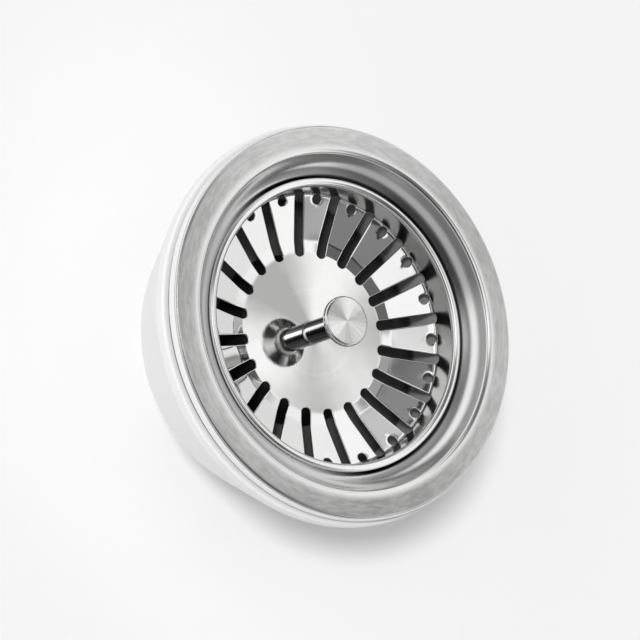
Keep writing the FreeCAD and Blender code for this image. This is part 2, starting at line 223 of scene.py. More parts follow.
class Wire:
    """A socket in a shader tree. Sums of wires and numbers add Math nodes, and node adds any other."""

    def __init__(self, tree, socket=None):
        self.tree = tree
        self.socket = socket

    def node(self, kind, settings, sockets, output=0):
        """Adds a node: settings are set on it first, then the values or links of its sockets."""
        new = self.tree.nodes.new(kind)
        for name, value in settings.items():
            setattr(new, name, value)
        for name, value in sockets.items():
            if isinstance(value, Wire):
                self.tree.links.new(value.socket, new.inputs[name])
            else:
                new.inputs[name].default_value = value
        return Wire(self.tree, new.outputs[output] if new.outputs else None)

    def maths(self, operation, first, second=0.0):
        """A Math node of two wires or numbers."""
        return self.node("ShaderNodeMath", {"operation": operation}, {0: first, 1: second})

    def __add__(self, other):
        return self.maths("ADD", self, other)

    def __radd__(self, other):
        return self.maths("ADD", other, self)

    def __sub__(self, other):
        return self.maths("SUBTRACT", self, other)

    def __rsub__(self, other):
        return self.maths("SUBTRACT", other, self)

    def __mul__(self, other):
        return self.maths("MULTIPLY", self, other)

    def __rmul__(self, other):
        return self.maths("MULTIPLY", other, self)

    def __truediv__(self, other):
        return self.maths("DIVIDE", self, other)

    def __pow__(self, other):
        return self.maths("POWER", self, other)

    def ease(self, low, high):
        """0 below low, 1 above high, and a smooth step between them."""
        return self.node("ShaderNodeMapRange", {"interpolation_type": "SMOOTHSTEP"},
                         {"Value": self, "From Min": low, "From Max": high})

    def noise(self, scale, detail, place):
        """Cloudy noise of that scale per metre at a place, about 0 to 1."""
        return self.node("ShaderNodeTexNoise", {}, {"Vector": place, "Scale": scale, "Detail": detail})

    def parts(self, vector):
        """The three components of a vector."""
        split = self.node("ShaderNodeSeparateXYZ", {}, {0: vector}).socket.node
        return [Wire(self.tree, component) for component in split.outputs]

    def blend(self, mask, first, second):
        """The first colour where the mask is 0, the second where it is 1."""
        return self.node("ShaderNodeMix", {"data_type": "RGBA"}, {0: mask, 6: first, 7: second}, 2)

    def bump(self, height, depth):
        """A normal from a height of 0 to 1, which stands for that depth in metres."""
        return self.node("ShaderNodeBump", {}, {"Height": height, "Strength": 1.0, "Distance": depth})


def start_finish(name):
    """An empty material, the wire that adds its nodes, and the piece's own coordinates."""
    material = bpy.data.materials.new(name)
    material.use_nodes = True
    material.node_tree.nodes.clear()
    wire = Wire(material.node_tree)
    place = wire.node("ShaderNodeTexCoord", {}, {}, "Object")
    return material, wire, place


def end_finish(wire, sockets):
    """The surface shader with the given sockets, joined to the material's output."""
    surface = wire.node("ShaderNodeBsdfPrincipled", {}, sockets)
    wire.node("ShaderNodeOutputMaterial", {}, {"Surface": surface})


def white_plastic():
    """Moulded plastic: almost white, satin, with faint flow clouds and a fine spark-eroded grain."""
    material, wire, place = start_finish("white_plastic")
    clouds = wire.noise(30.0, 3.0, place)
    grain = wire.noise(2600.0, 2.0, place)
    colour = wire.blend(clouds, (0.80, 0.80, 0.795, 1), (0.86, 0.86, 0.855, 1))
    end_finish(wire, {
        "Base Color": colour,
        "Roughness": 0.34 + 0.10 * clouds,
        "Normal": wire.bump(grain, 0.00002),
    })
    return material


white_body.data.materials.append(white_plastic())


# Gaskets: two black rubber rings, stamped from sheet. One lies on the body's rim, its edge the dark
# line behind the flange, and one fills the hollow under the flange's flat. The sink goes between them.

def black_rubber():
    """Rubber: near black, dull, with a fine pebbled skin and a grey bloom in patches."""
    material, wire, place = start_finish("black_rubber")
    bloom = wire.noise(120.0, 4.0, place).ease(0.45, 0.75)
    pebbles = wire.noise(1800.0, 3.0, place)
    end_finish(wire, {
        "Base Color": wire.blend(bloom, (0.006, 0.006, 0.006, 1), (0.014, 0.014, 0.014, 1)),
        "Roughness": 0.62 + 0.16 * pebbles,
        "Normal": wire.bump(pebbles, 0.00004),
    })
    return material


SINK_LEVEL = 72.7
FLANGE_UNDER_SIDE = 75.4

rubber = black_rubber()
rim_line = rounded_box(50.5, 56.4, RIM_TOP, SINK_LEVEL, 0.2, 0.4)
rim_gasket = piece("rim_gasket", [(turned(rim_line, 160), True, True)], "waste", "body_gasket")
rim_gasket.data.materials.append(rubber)
under_line = rounded_box(50.9, 55.4, SINK_LEVEL, FLANGE_UNDER_SIDE, 0.2, 0.2)
under_gasket = piece("under_gasket", [(turned(under_line, 120), True, True)], "waste", "flange_gasket")
under_gasket.data.materials.append(rubber)


# Sink flange: one deep-drawn stainless sheet. The flat ring is satin and worn, with painted light and
# dark lobes and painted shade on one side; the edge is turned down, the shoulder and dish are polished
# and the bowl below them is dull. Eight drain holes are punched through its floor round the clamp bolt.

FLANGE_SHEET = 1.0
FLANGE_RADIUS = 57.0
FACE = 76.4
THROAT = 42.0
FLOOR = 43.4
BOLT_HOLE = 5.2
DRAIN_RING = 16.0
DRAIN_RADIUS = 4.5
DRAIN_EDGE_BEND = 0.25
DRAIN_HOLES = 8
DRAIN_CELL_INNER = 10.6
DRAIN_CELL_OUTER = 21.8
FLOOR_ENDS = 12
# The angle round the drain axis, from +X, that points away from the photograph's camera
AWAY = math.radians(83.414)


class SheetPath:
    """A bent sheet's upper side as a line of radius and height over the distance along it, in mm."""

    def __init__(self, corners):
        self.line = bent_line(corners, closed=False, step=1.0)
        gaps = np.linalg.norm(np.diff(self.line, axis=0), axis=1)
        keep = np.concatenate(([True], gaps > 1e-9))
        self.line = self.line[keep]
        gaps = np.linalg.norm(np.diff(self.line, axis=0), axis=1)
        self.along = np.concatenate(([0.0], np.cumsum(gaps)))
        self.slope = np.unwrap(np.arctan2(np.gradient(self.line[:, 1], self.along),
                                          np.gradient(self.line[:, 0], self.along)))
        self.length = self.along[-1]

    def radius(self, along):
        """The upper side's radius that far along the sheet."""
        return np.interp(along, self.along, self.line[:, 0])

    def place(self, along, angle, lift):
        """The point that far along the sheet, at an angle round the axis, lifted along its normal."""
        slope = np.interp(along, self.along, self.slope)
        radius = self.radius(along) - lift * np.sin(slope)
        height = np.interp(along, self.along, self.line[:, 1]) + lift * np.cos(slope)
        return np.stack((radius * np.cos(angle), radius * np.sin(angle), height + 0 * angle), axis=-1)


def there_and_back(along, across):
    """A closed loop from its half: the half, then its mirror image on the way back."""
    return (np.concatenate((along, along[-2:0:-1])),
            np.concatenate((across, -across[-2:0:-1])))


def border_loop(side, width, ends):
    """Border of the cell round a hole: from the middle of its near end out to the corner, along the side
    at the given width, in to the middle of the far end, and back by the mirror image."""
    share = np.arange(ends) / ends
    along = np.concatenate((np.full(ends, side[0]), side, np.full(ends, side[-1])))
    across = np.concatenate((width[0] * share, width, width[-1] * (1 - share - 1 / ends)))
    return there_and_back(along, across)


def edge_loop(side, low, high, radius, ends):
    """Edge of a round-ended hole between two end centres, with one point for each point of the border:
    a quarter circle, a straight side at the border's own distances, a quarter circle, and the mirror."""
    share = np.arange(ends) / ends
    near = np.clip(0.5 + 0.5 * (side - side[0]) / (low - side[0]), 0.5, 1.0)
    far = np.clip(0.5 * (side - high) / (side[-1] - high), 0.0, 0.5)
    near = np.concatenate((0.5 * share, near, np.ones(ends))) * np.pi / 2
    far = np.concatenate((np.zeros(ends), far, 0.5 + 0.5 * (share + 1 / ends))) * np.pi / 2
    along = np.concatenate((np.full(ends, low), np.clip(side, low, high), np.full(ends, high)))
    along = along - radius * np.cos(near) + radius * np.sin(far)
    across = radius * np.sin(near) * np.cos(far)
    return there_and_back(along, across)


def pierced_rows(border, edge_at, thickness, edge_bend, spread):
    """Rows (along, across, lift) of the sheet round a hole: the under side in from the border, the lower
    edge's quarter round, the wall, the upper quarter round, and the upper side out to the border."""
    quarter = np.linspace(0, np.pi / 2, 4)
    out = edge_bend * (1 - np.cos(quarter))
    down = edge_bend * (1 - np.sin(quarter))
    wide = edge_at(edge_bend)

    def flat_row(share, lift):
        return wide[0] + share * (border[0] - wide[0]), wide[1] + share * (border[1] - wide[1]), lift

    rows = [flat_row(share, -thickness) for share in spread[:0:-1]]
    rows += [(*edge_at(out[step]), down[step] - thickness) for step in reversed(range(len(quarter)))]
    rows += [(*edge_at(out[step]), -down[step]) for step in range(len(quarter))]
    rows += [flat_row(share, 0.0) for share in spread[1:]]
    along = np.stack([row[0] for row in rows])
    across = np.stack([row[1] for row in rows])
    lift = np.stack([row[2] + 0 * row[0] for row in rows])
    return along, across, lift


def sheet_strip(path, distances, angles, thickness):
    """Both sides of a plain stretch of sheet: the upper side over the distances, a small chamfer round
    the end of the sheet, and the under side back again."""
    chamfer = 0.15 * thickness
    end = distances[-1]
    inner = end - chamfer if end > distances[0] else end + chamfer
    along = np.concatenate((distances[:-1], [inner, end, end, inner], distances[-2::-1]))
    lift = np.concatenate((np.zeros(len(distances)), [-chamfer, chamfer - thickness],
                           np.full(len(distances), -thickness)))
    return path.place(along[:, None], angles[None, :], lift[:, None])


flange_path = SheetPath([
    (BOLT_HOLE, FLOOR, 0),
    (THROAT, FLOOR, 4.0),
    (THROAT, FACE - 7.7, 2.0),
    (46.6, FACE - 4.2, 10.0),
    (49.0, FACE, 1.8),
    (FLANGE_RADIUS, FACE, 1.3),
    (FLANGE_RADIUS, FACE - 3.5, 0),
])
floor_angles = even_angles(DRAIN_HOLES * 2 * FLOOR_ENDS)
floor_side = np.linspace(DRAIN_CELL_INNER, DRAIN_CELL_OUTER, 15) - BOLT_HOLE
floor_spread = np.array([0.0, 0.06, 0.25, 0.6, 1.0])
half_cell = math.pi / DRAIN_HOLES
drain_centre = DRAIN_RING - BOLT_HOLE
drain_rows = pierced_rows(
    border_loop(floor_side, flange_path.radius(floor_side) * half_cell, FLOOR_ENDS),
    lambda out: edge_loop(floor_side, drain_centre, drain_centre, DRAIN_RADIUS + out, FLOOR_ENDS),
    FLANGE_SHEET, DRAIN_EDGE_BEND, floor_spread)
flange_skins = []
for hole in range(DRAIN_HOLES):
    angle = (2 * hole + 1) * half_cell + drain_rows[1] / flange_path.radius(drain_rows[0])
    flange_skins.append((flange_path.place(drain_rows[0], angle, drain_rows[2]), False, True))
inner_floor = np.linspace(floor_side[0], 0.0, 8)
flange_skins.append((sheet_strip(flange_path, inner_floor, floor_angles, FLANGE_SHEET), False, True))
# Rows of the rest of the pressing: the sheet's own points, thinned to every fifth one inside the arcs
rest = flange_path.along[flange_path.along > floor_side[-1] + 0.5]
turning = np.gradient(np.interp(rest, flange_path.along, flange_path.slope)) != 0
rest = rest[~turning | (np.arange(len(rest)) % 5 == 0) | (rest == rest[-1])]
outer_sheet = np.concatenate(([floor_side[-1]], rest))
flange_skins.append((sheet_strip(flange_path, outer_sheet, floor_angles, FLANGE_SHEET), False, True))
steel_flange = piece("steel_flange", flange_skins, "waste", "sink_flange")


def bearing(x, y, radius, turn):
    """The cosine of the angle between a place's direction from the drain axis and the turn."""
    return (x * math.cos(turn) + y * math.sin(turn)) / radius


def ring_noise(wire, x, y, radius, across, around, detail):
    """Noise drawn out in rings or rays: its place is the radius times one scale, and the direction from
    the drain axis times another."""
    ring = wire.node("ShaderNodeCombineXYZ", {}, {
        0: radius * across,
        1: x / radius * around,
        2: y / radius * around,
    })
    return wire.noise(1.0, detail, ring)


def painted_spin_lobes(wire, x, y, radius, turn, thirds, fan_depth):
    """Painted light and shade, about 0 to 1: the broad light and dark lobes that metal finished on a
    turntable shows, put into colour instead of reflections. They follow the cosine of twice the angle from
    the turn, in part the cosine of three times the angle from half a radian on, roughened by a fan of fine
    rays."""
    along = bearing(x, y, radius, turn)
    ahead = bearing(x, y, radius, turn + 0.52)
    wave = (1 - thirds) * (2 * along * along - 1) + thirds * (4 * ahead * ahead - 3) * ahead
    fan = ring_noise(wire, x, y, radius, 60.0, 7.0, 3.0)
    return 0.5 + 0.5 * wave + fan_depth * (fan - 0.5)


def flange_steel():
    """Stainless sheet: the flat ring satin, clouded and streaked by fine scratches, with painted light and
    dark lobes and painted shade on one side; the turned-down edge, shoulder and dish polished, the dish's
    far foot painted near black as shade in the gap by the basket, its near half painted pale and less
    metallic as a painted sheen; the bowl dull and its floor much darker."""
    # Colours: the scuffed grey also carries painted shade, the pale white is a painted sheen and the near
    # black is painted shade in the gap.
    satin = (0.74, 0.74, 0.735, 1)
    scuff_and_shade_grey = (0.30, 0.30, 0.295, 1)
    painted_sheen_white = (0.86, 0.86, 0.855, 1)
    painted_gap_black = (0.03, 0.03, 0.03, 1)
    dim_grey = (0.66, 0.66, 0.655, 1)
    floor_near_black = (0.10, 0.10, 0.098, 1)
    material, wire, place = start_finish("flange_steel")
    x, y, z = wire.parts(place)
    radius = (x * x + y * y) ** 0.5
    flat = radius.ease(0.0496, 0.0520) * (1 - radius.ease(0.0558, 0.0566))
    far_half = bearing(x, y, radius, AWAY).ease(-0.70, -0.10)
    # Painted shade: the dish's foot on the far side, by the basket's rim, is painted near black for the
    # gap's shade.
    painted_gap_shade = far_half * (1 - z.ease(0.0699, 0.0704))
    # Painted light: the near half of the dish is painted pale and made less metallic, as a sheen.
    painted_near_sheen = (1 - far_half) * (1 - z.ease(0.0752, 0.0762))
    bowl = 1 - z.ease(0.0650, 0.0685)
    # The bowl's floor is painted much darker.
    floor = 1 - z.ease(0.0462, 0.0490)
    clouds = wire.noise(110.0, 3.0, place)
    streaks = ring_noise(wire, x, y, radius, 1300.0, 16.0, 5.0)
    marks = 0.7 * streaks + 0.3 * clouds
    # Painted light and shade on the flat ring: light and dark lobes for the turntable finish's reflections
    # and one side darkened, mixed with the real scratch marks.
    lobes = painted_spin_lobes(wire, x, y, radius, AWAY + 0.88, 1.0, 0.2)
    painted_side_shade = 0.5 + 0.5 * bearing(x, y, radius, AWAY - math.pi / 2)
    marks_and_painted_shade = flat * (0.24 * marks.ease(0.36, 0.64) + 0.30 * (1 - lobes) + 0.30 * painted_side_shade)
    colour = wire.blend(marks_and_painted_shade, satin, scuff_and_shade_grey)
    colour = wire.blend(painted_near_sheen, colour, painted_sheen_white)
    colour = wire.blend(painted_gap_shade, colour, painted_gap_black)
    end_finish(wire, {
        "Base Color": wire.blend(bowl, colour, wire.blend(floor, dim_grey, floor_near_black)),
        "Metallic": (1 - 0.6 * bowl) * (1 - 0.8 * painted_near_sheen),
        "Roughness": 0.20 + flat * (0.08 + 0.18 * marks) + bowl * 0.3,
        "Normal": wire.bump(flat * marks, 0.00006),
    })
    return material


steel_flange.data.materials.append(flange_steel())


# Clamp bolt, its sealing washer and the brass nut it screws into. The bolt is turned stainless bar,
# hollow so that the basket's pin can slide in it, with a slot across its head. It pulls the body up
# against the sink.

def turned_steel():
    """Turned bar: bright steel, mirror-smooth on its sides, with tool rings on the knob's flat top as a
    bump,
    and on that top painted light and shade: the light and dark lobes the rings would fan the light into."""
    bright = (0.80, 0.80, 0.795, 1)
    shaded = (0.36, 0.36, 0.355, 1)
    material, wire, place = start_finish("turned_steel")
    x, y, z = wire.parts(place)
    radius = (x * x + y * y + 1e-9) ** 0.5
    end_face = z.ease(0.0740, 0.0742)
    tool_rings = ring_noise(wire, x, y, radius, 4000.0, 1.2, 2.0)
    # Painted light and shade: the knob's top is darker in lobes, as its turned finish would mirror them.
    lobes = painted_spin_lobes(wire, x, y, radius, AWAY + 0.60, 0.6, 0.6)
    end_finish(wire, {
        "Base Color": wire.blend(end_face * (1 - lobes), bright, shaded),
        "Metallic": 1.0,
        "Roughness": 0.03 + end_face * (0.09 + 0.10 * tool_rings),
        "Normal": wire.bump(end_face * tool_rings, 0.00003),
    })
    return material


def machined_brass():
    """Brass bar: warm yellow with turning rings and a dull patina in patches."""
    material, wire, place = start_finish("machined_brass")
    patina = wire.noise(300.0, 4.0, place)
    rings = wire.node("ShaderNodeTexWave", {"bands_direction": "Z"},
                      {"Vector": place, "Scale": 900.0, "Distortion": 0.6})
    end_finish(wire, {
        "Base Color": wire.blend(patina, (0.72, 0.54, 0.24, 1), (0.48, 0.33, 0.13, 1)),
        "Metallic": 1.0,
        "Roughness": 0.22 + 0.18 * patina,
        "Normal": wire.bump(rings, 0.00002),
    })
    return material


def carry_over(node, material):
    """A CAD solid whose shape is right keeps it and takes the finish."""
    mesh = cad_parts[node].data
    mesh.materials.clear()
    mesh.materials.append(material)


bar_steel = turned_steel()
carry_over("clamp_bolt", bar_steel)
carry_over("bolt_washer", rubber)
carry_over("insert_nut", machined_brass())


# Stopper: a dark plastic disc that turns freely on the basket's pin, with a black rubber bell snapped
# over its spigot. Pushed down, the bell's lip closes the ring of drain holes.

def dark_plastic():
    """Moulded nylon: almost black, matte, slightly cloudy."""
    material, wire, place = start_finish("dark_plastic")
    clouds = wire.noise(180.0, 4.0, place)
    end_finish(wire, {
        "Base Color": wire.blend(clouds, (0.012, 0.012, 0.013, 1), (0.024, 0.024, 0.025, 1)),
        "Roughness": 0.42 + 0.14 * clouds,
        "Normal": wire.bump(wire.noise(2200.0, 2.0, place), 0.00002),
    })
    return material


STOPPER_BORE = 4.08
STOPPER_RADIUS = 18.0
STOPPER_BOTTOM = 49.55
STOPPER_TOP = 52.85
SPIGOT_TOP = 55.75
SEAL_TOP = 55.35
SEAL_LIP = 43.7

hub_disc_line = bent_line([
    (STOPPER_BORE, STOPPER_BOTTOM, 0.2),
    (STOPPER_RADIUS, STOPPER_BOTTOM, 0.8),
    (STOPPER_RADIUS, STOPPER_TOP, 0.4),
    (9.5, STOPPER_TOP, 0.0),
    (9.5, SEAL_TOP, 0.0),
    (10.5, SEAL_TOP, 0.15),
    (10.5, SPIGOT_TOP, 0.15),
    (7.3, SPIGOT_TOP, 0.2),
    (7.3, STOPPER_TOP, 0.2),
    (STOPPER_BORE, STOPPER_TOP, 0.2),
])
hub_disc = piece("hub_disc", [(turned(hub_disc_line, 96), True, True)], "stopper", "stopper_hub")
hub_disc.data.materials.append(dark_plastic())
bell_line = bent_line([
    (9.6, STOPPER_TOP, 0.2),
    (20.8, STOPPER_TOP, 1.1),
    (23.6, SEAL_LIP, 0.55),
    (25.8, SEAL_LIP, 0.55),
    (23.0, SEAL_TOP, 1.1),
    (9.6, SEAL_TOP, 0.2),
])
rubber_bell = piece("rubber_bell", [(turned(bell_line, 120), True, True)], "stopper", "stopper_seal")
rubber_bell.data.materials.append(rubber)


# Basket: a cup pressed from thin stainless sheet and polished. A flat disc with a narrow facet round it
# carries the knob, and twenty slots leave twenty flat petals that rise to a short wall, each with a small
# round hole at its outer end. The top edge is curled over so that it seats on the dish.

BASKET_SHEET = 0.7
PIN_HOLE = 2.55
DISC = 56.7
FACET_RADIUS = 27.4
FACET_RISE = 0.6
WALL_RADIUS = 40.3
WALL_RISE = 5.2
CURL_TOP = 70.9
CURL_RADIUS = 42.8
SLOTS = 20
SLOT_HALF_WIDTH = 1.5
SLOT_TIP_RADIUS = 22.7
SLOT_UP_WALL = 0.9
PETAL_HOLE = 1.5
PETAL_HOLE_RING = 38.8
PETAL_HOLE_STEPS = 24
PETAL_START_RADIUS = 28.0
PETAL_EDGE_BEND = 0.22
PETAL_SLOPE = math.atan2(WALL_RISE - FACET_RISE, WALL_RADIUS - FACET_RADIUS)
BASKET_ENDS = 6

basket_path = SheetPath([
    (PIN_HOLE, DISC, 0),
    (23.8, DISC, 1.5),
    (FACET_RADIUS, DISC + FACET_RISE, 1.5),
    (WALL_RADIUS, DISC + WALL_RISE, 1.2),
    (WALL_RADIUS, CURL_TOP, 1.5),
    (CURL_RADIUS, CURL_TOP, 0.85),
    (CURL_RADIUS, CURL_TOP - 0.9, 0),
])


def distance_at_radius(radius):
    """How far along the basket's sheet it first reaches a radius inside the wall."""
    inside = basket_path.line[:, 0] < WALL_RADIUS - 0.01
    return float(np.interp(radius, basket_path.line[inside, 0], basket_path.along[inside]))


slot_tip = distance_at_radius(SLOT_TIP_RADIUS)
fold = distance_at_radius(WALL_RADIUS - 0.05)
slot_end = fold + SLOT_UP_WALL
petal_start = distance_at_radius(PETAL_START_RADIUS)
hole_centre = distance_at_radius(PETAL_HOLE_RING)
hole_border = PETAL_HOLE + PETAL_EDGE_BEND
half_petal = math.pi / SLOTS
seeded = np.random.default_rng(11)
petal_roll = seeded.uniform(-0.016, 0.016, SLOTS)
petal_pitch = seeded.uniform(-0.008, 0.008, SLOTS)


def smooth_step(value, low, high):
    """0 below low, 1 above high, and between them three times the share squared less twice its cube."""
    share = np.clip((value - low) / (high - low), 0, 1)
    return share * share * (3 - 2 * share)


def petal_lift(along, across, petal):
    """How far a petal's face stands off the cone: it is flat across, so it drops by the arc's height over
    its chord, and each one is tilted a touch by the press. It eases to nothing at both folds."""
    radius = basket_path.radius(along)
    flat = -math.sin(PETAL_SLOPE) * radius * (1 - np.cos(across / radius))
    tilt = petal_roll[petal] * across + petal_pitch[petal] * (along - 0.5 * (petal_start + fold))
    inside = smooth_step(along, petal_start - 1.5, petal_start + 1.0)
    return (flat + tilt) * inside * (1 - smooth_step(along, fold - 2.6, fold - 0.6))


petal_side = np.concatenate((
    np.linspace(slot_tip - 1.2, petal_start, 13)[:-1],
    np.linspace(petal_start, hole_centre - hole_border, 7)[:-1],
    hole_centre - hole_border * np.cos(np.linspace(0, np.pi, 13)),
    np.linspace(hole_centre + hole_border, slot_end + 1.0, 8)[1:],
))
petal_spread = np.array([0.0, 0.06, 0.2, 0.45, 0.7, 1.0])
# Beside the petal hole the cell's border steps back to the hole's rounded edge
dent = np.sqrt(np.clip(hole_border ** 2 - (petal_side - hole_centre) ** 2, 0, None))
slot_rows = pierced_rows(
    border_loop(petal_side, basket_path.radius(petal_side) * half_petal - dent, BASKET_ENDS),
    lambda out: edge_loop(petal_side, slot_tip + SLOT_HALF_WIDTH, slot_end - SLOT_HALF_WIDTH,
                          SLOT_HALF_WIDTH + out, BASKET_ENDS),
    BASKET_SHEET, PETAL_EDGE_BEND, petal_spread)
# One petal hole's ring, from the rounded upper edge down its wall to the rounded under edge
quarter = np.linspace(0, np.pi / 2, 4)
ring_out = PETAL_EDGE_BEND * np.concatenate((1 - np.cos(quarter[::-1]), 1 - np.cos(quarter)))
ring_down = PETAL_EDGE_BEND * (1 - np.sin(quarter))
ring_lift = np.concatenate((-ring_down[::-1], ring_down - BASKET_SHEET))[:, None]
ring_turn = even_angles(PETAL_HOLE_STEPS)
ring_along = hole_centre - (PETAL_HOLE + ring_out[:, None]) * np.cos(ring_turn)
ring_across = (PETAL_HOLE + ring_out[:, None]) * np.sin(ring_turn)
basket_skins = []
for slot in range(SLOTS):
    along, across, lift = slot_rows
    radius = basket_path.radius(along)
    from_centre = across - np.sign(across) * radius * half_petal
    petal = np.where(across >= 0, slot, (slot - 1) % SLOTS)
    angle = 2 * half_petal * slot + across / radius
    lift = lift + petal_lift(along, from_centre, petal)
    basket_skins.append((basket_path.place(along, angle, lift), False, True))
    angle = 2 * half_petal * (slot + 0.5) + ring_across / basket_path.radius(ring_along)
    lift = ring_lift + petal_lift(ring_along, ring_across, slot)
    basket_skins.append((basket_path.place(ring_along, angle, lift), False, True))
basket_angles = even_angles(SLOTS * 2 * BASKET_ENDS)
disc_run = np.linspace(petal_side[0], 0.0, 12)
basket_skins.append((sheet_strip(basket_path, disc_run, basket_angles, BASKET_SHEET), False, True))
rim_run = np.linspace(petal_side[-1], basket_path.length, 46)
basket_skins.append((sheet_strip(basket_path, rim_run, basket_angles, BASKET_SHEET), False, True))
steel_basket = piece("steel_basket", basket_skins, "basket", "basket_shell")


def basket_steel():
    """Polished sheet: mirror-bright petals with a faint haze, a duller wall and rim, the wall below the
    curl also painted darker as shade, and a disc finished on a turntable, its fine rings a bump and the
    broad light and dark lobes they pull the light into painted as colour, with a faint ring of painted
    shade."""
    clear = (0.82, 0.82, 0.815, 1)
    hazy = (0.77, 0.77, 0.765, 1)
    dim_grey = (0.56, 0.56, 0.555, 1)
    shaded = (0.38, 0.38, 0.375, 1)
    material, wire, place = start_finish("basket_steel")
    x, y, z = wire.parts(place)
    radius = (x * x + y * y) ** 0.5
    disc = 1 - radius.ease(0.0232, 0.0245)
    # Painted shade: a faint darker ring on the disc, where the edge of a low boss would shade.
    painted_ring_shade = radius.ease(0.0120, 0.0126) * (1 - radius.ease(0.0126, 0.0134))
    turning_marks = ring_noise(wire, x, y, radius, 3000.0, 1.6, 3.0)
    # Painted light and shade: the disc's broad lobes, put in as colour.
    lobes = painted_spin_lobes(wire, x, y, radius, AWAY + 0.49, 0.6, 0.12)
    lobes = 1.35 * lobes - 0.175 + 0.5 * (wire.noise(95.0, 2.0, place) - 0.5)
    rim_wall = z.ease(0.0624, 0.0632)
    haze = wire.noise(420.0, 4.0, place)
    # Painted shade: the wall below the curl is painted a darker grey.
    painted_wall_shade = rim_wall * (1 - z.ease(0.0690, 0.0698))
    bright = wire.blend(painted_wall_shade, wire.blend(haze, clear, hazy), dim_grey)
    end_finish(wire, {
        "Base Color": wire.blend(disc * (1 - lobes - 0.06 * painted_ring_shade), bright, shaded),
        "Metallic": 1.0,
        "Roughness": 0.03 + 0.02 * haze + disc * 0.03 * turning_marks + rim_wall * 0.13,
        "Normal": wire.bump(disc * turning_marks, 0.000006),
    })
    return material


steel_basket.data.materials.append(basket_steel())


# Knob: turned from stainless bar, a thin disc head on a tapered neck and a polished stem. The basket's
# pin screws up into it from below.

STEM_RADIUS = 3.5
HEAD_RADIUS = 7.35
KNOB_TOP = 74.3
PIN_HOLE_TOP = 67.3

knob_line = bent_line([
    (PIN_HOLE, DISC, 0.0),
    (STEM_RADIUS, DISC, 0.0),
    (STEM_RADIUS, DISC + 0.05, 0.0),
    (STEM_RADIUS, 71.2, 1.8),
    (HEAD_RADIUS, 73.0, 0.3),
    (HEAD_RADIUS, KNOB_TOP, 0.95),
    (0.0, KNOB_TOP, 0.0),
    (0.0, PIN_HOLE_TOP, 0.0),
    (PIN_HOLE, PIN_HOLE_TOP, 0.2),
])
turned_knob = piece("turned_knob", [(turned(knob_line, 120), True, True)], "basket", "knob")
turned_knob.data.materials.append(bar_steel)


# Guide pin with its spring washer, clip and catch ring. The pin is turned steel: a stud up through the
# disc into the knob, a collar, a journal for the stopper, and a nose that slides in the clamp bolt.

def spring_steel():
    """Tempered strip: grey steel with a blue-black cast in places and a stamped, slightly rough face."""
    material, wire, place = start_finish("spring_steel")
    temper = wire.noise(500.0, 4.0, place)
    end_finish(wire, {
        "Base Color": wire.blend(temper, (0.36, 0.37, 0.39, 1), (0.22, 0.23, 0.27, 1)),
        "Metallic": 1.0,
        "Roughness": 0.26 + 0.14 * temper,
        "Normal": wire.bump(wire.noise(2600.0, 2.0, place), 0.00002),
    })
    return material


strip_steel = spring_steel()
carry_over("guide_pin", bar_steel)
carry_over("lock_washer", strip_steel)
carry_over("retaining_clip", strip_steel)
carry_over("catch_ring", strip_steel)


# Studio: a plain pale floor under the outlet, a white tent all round with soft grey screens that the
# polished steel mirrors, a small lamp and a wide one, and the camera.

FLOOR_REACH = 1.6

floor_mesh = bpy.data.meshes.new("studio_floor")
floor_signs = ((-1, -1), (1, -1), (1, 1), (-1, 1))
floor_corners = [(x * FLOOR_REACH, y * FLOOR_REACH, cad_low.z) for x, y in floor_signs]
floor_mesh.from_pydata(floor_corners, [], [(0, 1, 2, 3)])
studio_floor = bpy.data.objects.new("studio_floor", floor_mesh)
bpy.context.scene.collection.objects.link(studio_floor)


def pale_paper():
    """Background paper: white, matt, with a faint fibre."""
    material, wire, place = start_finish("pale_paper")
    fibre = wire.noise(900.0, 3.0, place)
    end_finish(wire, {
        "Base Color": wire.blend(fibre, (0.90, 0.90, 0.90, 1), (0.92, 0.92, 0.92, 1)),
        "Roughness": 0.9,
        "Specular IOR Level": 0.1,
    })
    return material


floor_mesh.materials.append(pale_paper())

# The photograph's camera: how far it is tipped from the drain axis, its roll, its distance from the
# flange's face, its lens, and how far that face's centre lies right of and above the picture's centre
TIP = 0.61418
ROLL = 0.33824
CAMERA_DISTANCE = 0.600
CAMERA_LENS = 119.24
FACE_OFFSET = (0.0088631, 0.0002011)

outward = np.array([math.cos(AWAY), math.sin(AWAY), 0.0])
sideways = np.array([-math.sin(AWAY), math.cos(AWAY), 0.0])
upward = np.array([0.0, 0.0, 1.0])
tipped = math.cos(TIP) * outward + math.sin(TIP) * upward
camera_right = math.cos(ROLL) * tipped - math.sin(ROLL) * sideways
camera_up = math.sin(ROLL) * tipped + math.cos(ROLL) * sideways
camera_back = math.cos(TIP) * upward - math.sin(TIP) * outward
face_centre = np.array([0.0, 0.0, cad_high.z])
camera_spot = (face_centre + CAMERA_DISTANCE * camera_back
               - FACE_OFFSET[0] * camera_right - FACE_OFFSET[1] * camera_up)


def stand(thing, right, up, back, spot):
    """Puts a thing into the studio at that spot, with its own x, y and z axes in those directions."""
    axes = np.stack((right, up, back, spot), axis=1)
    thing.matrix_world = Matrix([*axes.tolist(), [0, 0, 0, 1]])
    bpy.context.scene.collection.objects.link(thing)


camera_data = bpy.data.cameras.new("studio_camera")
camera_data.sensor_width = 36.0
camera_data.lens = CAMERA_LENS
camera_data.clip_start = 0.01
camera_data.clip_end = 50.0
camera = bpy.data.objects.new("studio_camera", camera_data)
stand(camera, camera_right, camera_up, camera_back, camera_spot)
bpy.context.scene.camera = camera


def direction(away, side, up):
    """The unit vector with those shares away from the camera, sideways and up the drain axis."""
    aim = away * outward + side * sideways + up * upward
    return aim / np.linalg.norm(aim)


